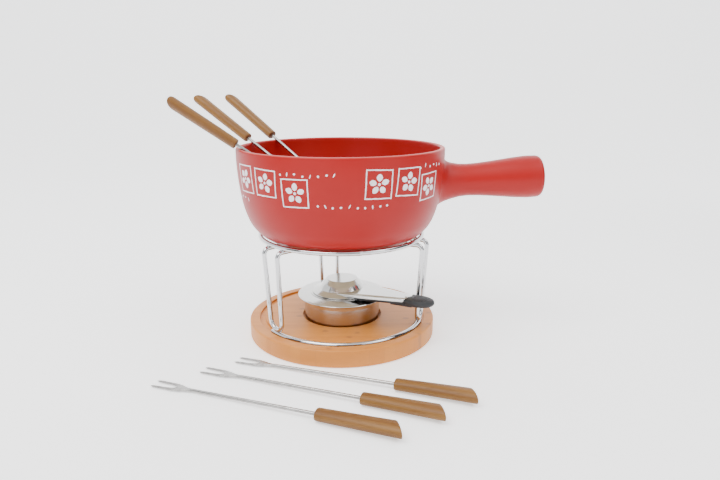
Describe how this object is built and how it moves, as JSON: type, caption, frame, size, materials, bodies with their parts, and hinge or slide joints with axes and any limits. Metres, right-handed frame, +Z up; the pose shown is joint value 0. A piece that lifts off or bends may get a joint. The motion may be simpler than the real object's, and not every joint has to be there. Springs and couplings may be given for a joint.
{
  "type": "fondue pot set",
  "caption": "Earthenware fondue pot with a side handle on a wire stand over a small burner, on a round wooden board, with long two-tined forks.",
  "frame": {"origin": "centre of the round board's underside", "axes": "+Z up, +X along the pot's handle, away from the bowl, +Y away from the forks that lie on the table"},
  "size_m": [0.4119, 0.3617, 0.271],
  "materials": {
    "bamboo": "satin lacquered laminated bamboo, orange-tan",
    "stand_wire": "bright chrome-plated steel wire",
    "pot_glaze": "satin red glaze inside and out, bare cream foot",
    "pot_print": "white fired-on print",
    "burner_cup_steel": "turned satin stainless steel",
    "burner_steel": "polished stainless steel sheet",
    "gauze": "fine woven steel gauze",
    "wadding": "white absorbent wadding",
    "grip_plastic": "black heat-proof plastic, satin",
    "fork_steel": "satin stainless steel",
    "fork_wood": "oiled mid-brown wood with fine grain"
  },
  "bodies": {
    "board": {"base_board": "bamboo"},
    "stand": {"bottom_ring": "stand_wire", "top_ring": "stand_wire", "stand_leg_1": "stand_wire", "stand_leg_2": "stand_wire", "stand_leg_3": "stand_wire"},
    "pot": {"pot": "pot_glaze"},
    "burner": {"burner_cup": "burner_cup_steel", "fuel_wadding": "wadding"},
    "burner_top": {"burner_cover": "burner_steel", "wick_mesh": "gauze"},
    "regulator": {"regulator_ring": "burner_steel", "regulator_knob": "grip_plastic"},
    "snuffer": {"snuffer_lid": "burner_steel", "snuffer_tongue": "burner_steel", "snuffer_handle": "grip_plastic", "handle_rivet": "burner_steel"},
    "pot_fork_1": {"pot_fork_1_blade": "fork_steel", "pot_fork_1_handle": "fork_wood"},
    "pot_fork_2": {"pot_fork_2_blade": "fork_steel", "pot_fork_2_handle": "fork_wood"},
    "pot_fork_3": {"pot_fork_3_blade": "fork_steel", "pot_fork_3_handle": "fork_wood"},
    "table_fork_1": {"table_fork_1_blade": "fork_steel", "table_fork_1_handle": "fork_wood"},
    "table_fork_2": {"table_fork_2_blade": "fork_steel", "table_fork_2_handle": "fork_wood"},
    "table_fork_3": {"table_fork_3_blade": "fork_steel", "table_fork_3_handle": "fork_wood"}
  },
  "joints": [
    {"name": "stand_lift", "type": "slide", "parent": "board", "child": "stand", "axis": [0, 0, 1], "range_m": [0, 0.02]},
    {"name": "pot_lift", "type": "slide", "parent": "stand", "child": "pot", "axis": [0, 0, 1], "range_m": [0, 0.08]},
    {"name": "burner_lift", "type": "slide", "parent": "board", "child": "burner", "axis": [0, 0, 1], "range_m": [0, 0.012]},
    {"name": "burner_top_lift", "type": "slide", "parent": "burner", "child": "burner_top", "axis": [0, 0, 1], "range_m": [0, 0.01]},
    {"name": "regulator_turn", "type": "hinge", "parent": "burner_top", "child": "regulator", "pos_m": [0, 0, 0.0472], "axis": [0, 0, 1], "range_deg": [-30, 0]},
    {"name": "snuffer_lift", "type": "slide", "parent": "burner_top", "child": "snuffer", "axis": [0, 0, 1], "range_m": [0, 0.025]},
    {"name": "pot_fork_1_lift", "type": "slide", "parent": "pot", "child": "pot_fork_1", "axis": [0, 0, 1], "range_m": [0, 0.12]},
    {"name": "pot_fork_2_lift", "type": "slide", "parent": "pot", "child": "pot_fork_2", "axis": [0, 0, 1], "range_m": [0, 0.12]},
    {"name": "pot_fork_3_lift", "type": "slide", "parent": "pot", "child": "pot_fork_3", "axis": [0, 0, 1], "range_m": [0, 0.12]},
    {"name": "table_fork_1_lift", "type": "slide", "parent": "board", "child": "table_fork_1", "axis": [0, 0, 1], "range_m": [0, 0.06]},
    {"name": "table_fork_2_lift", "type": "slide", "parent": "board", "child": "table_fork_2", "axis": [0, 0, 1], "range_m": [0, 0.06]},
    {"name": "table_fork_3_lift", "type": "slide", "parent": "board", "child": "table_fork_3", "axis": [0, 0, 1], "range_m": [0, 0.06]}
  ]
}
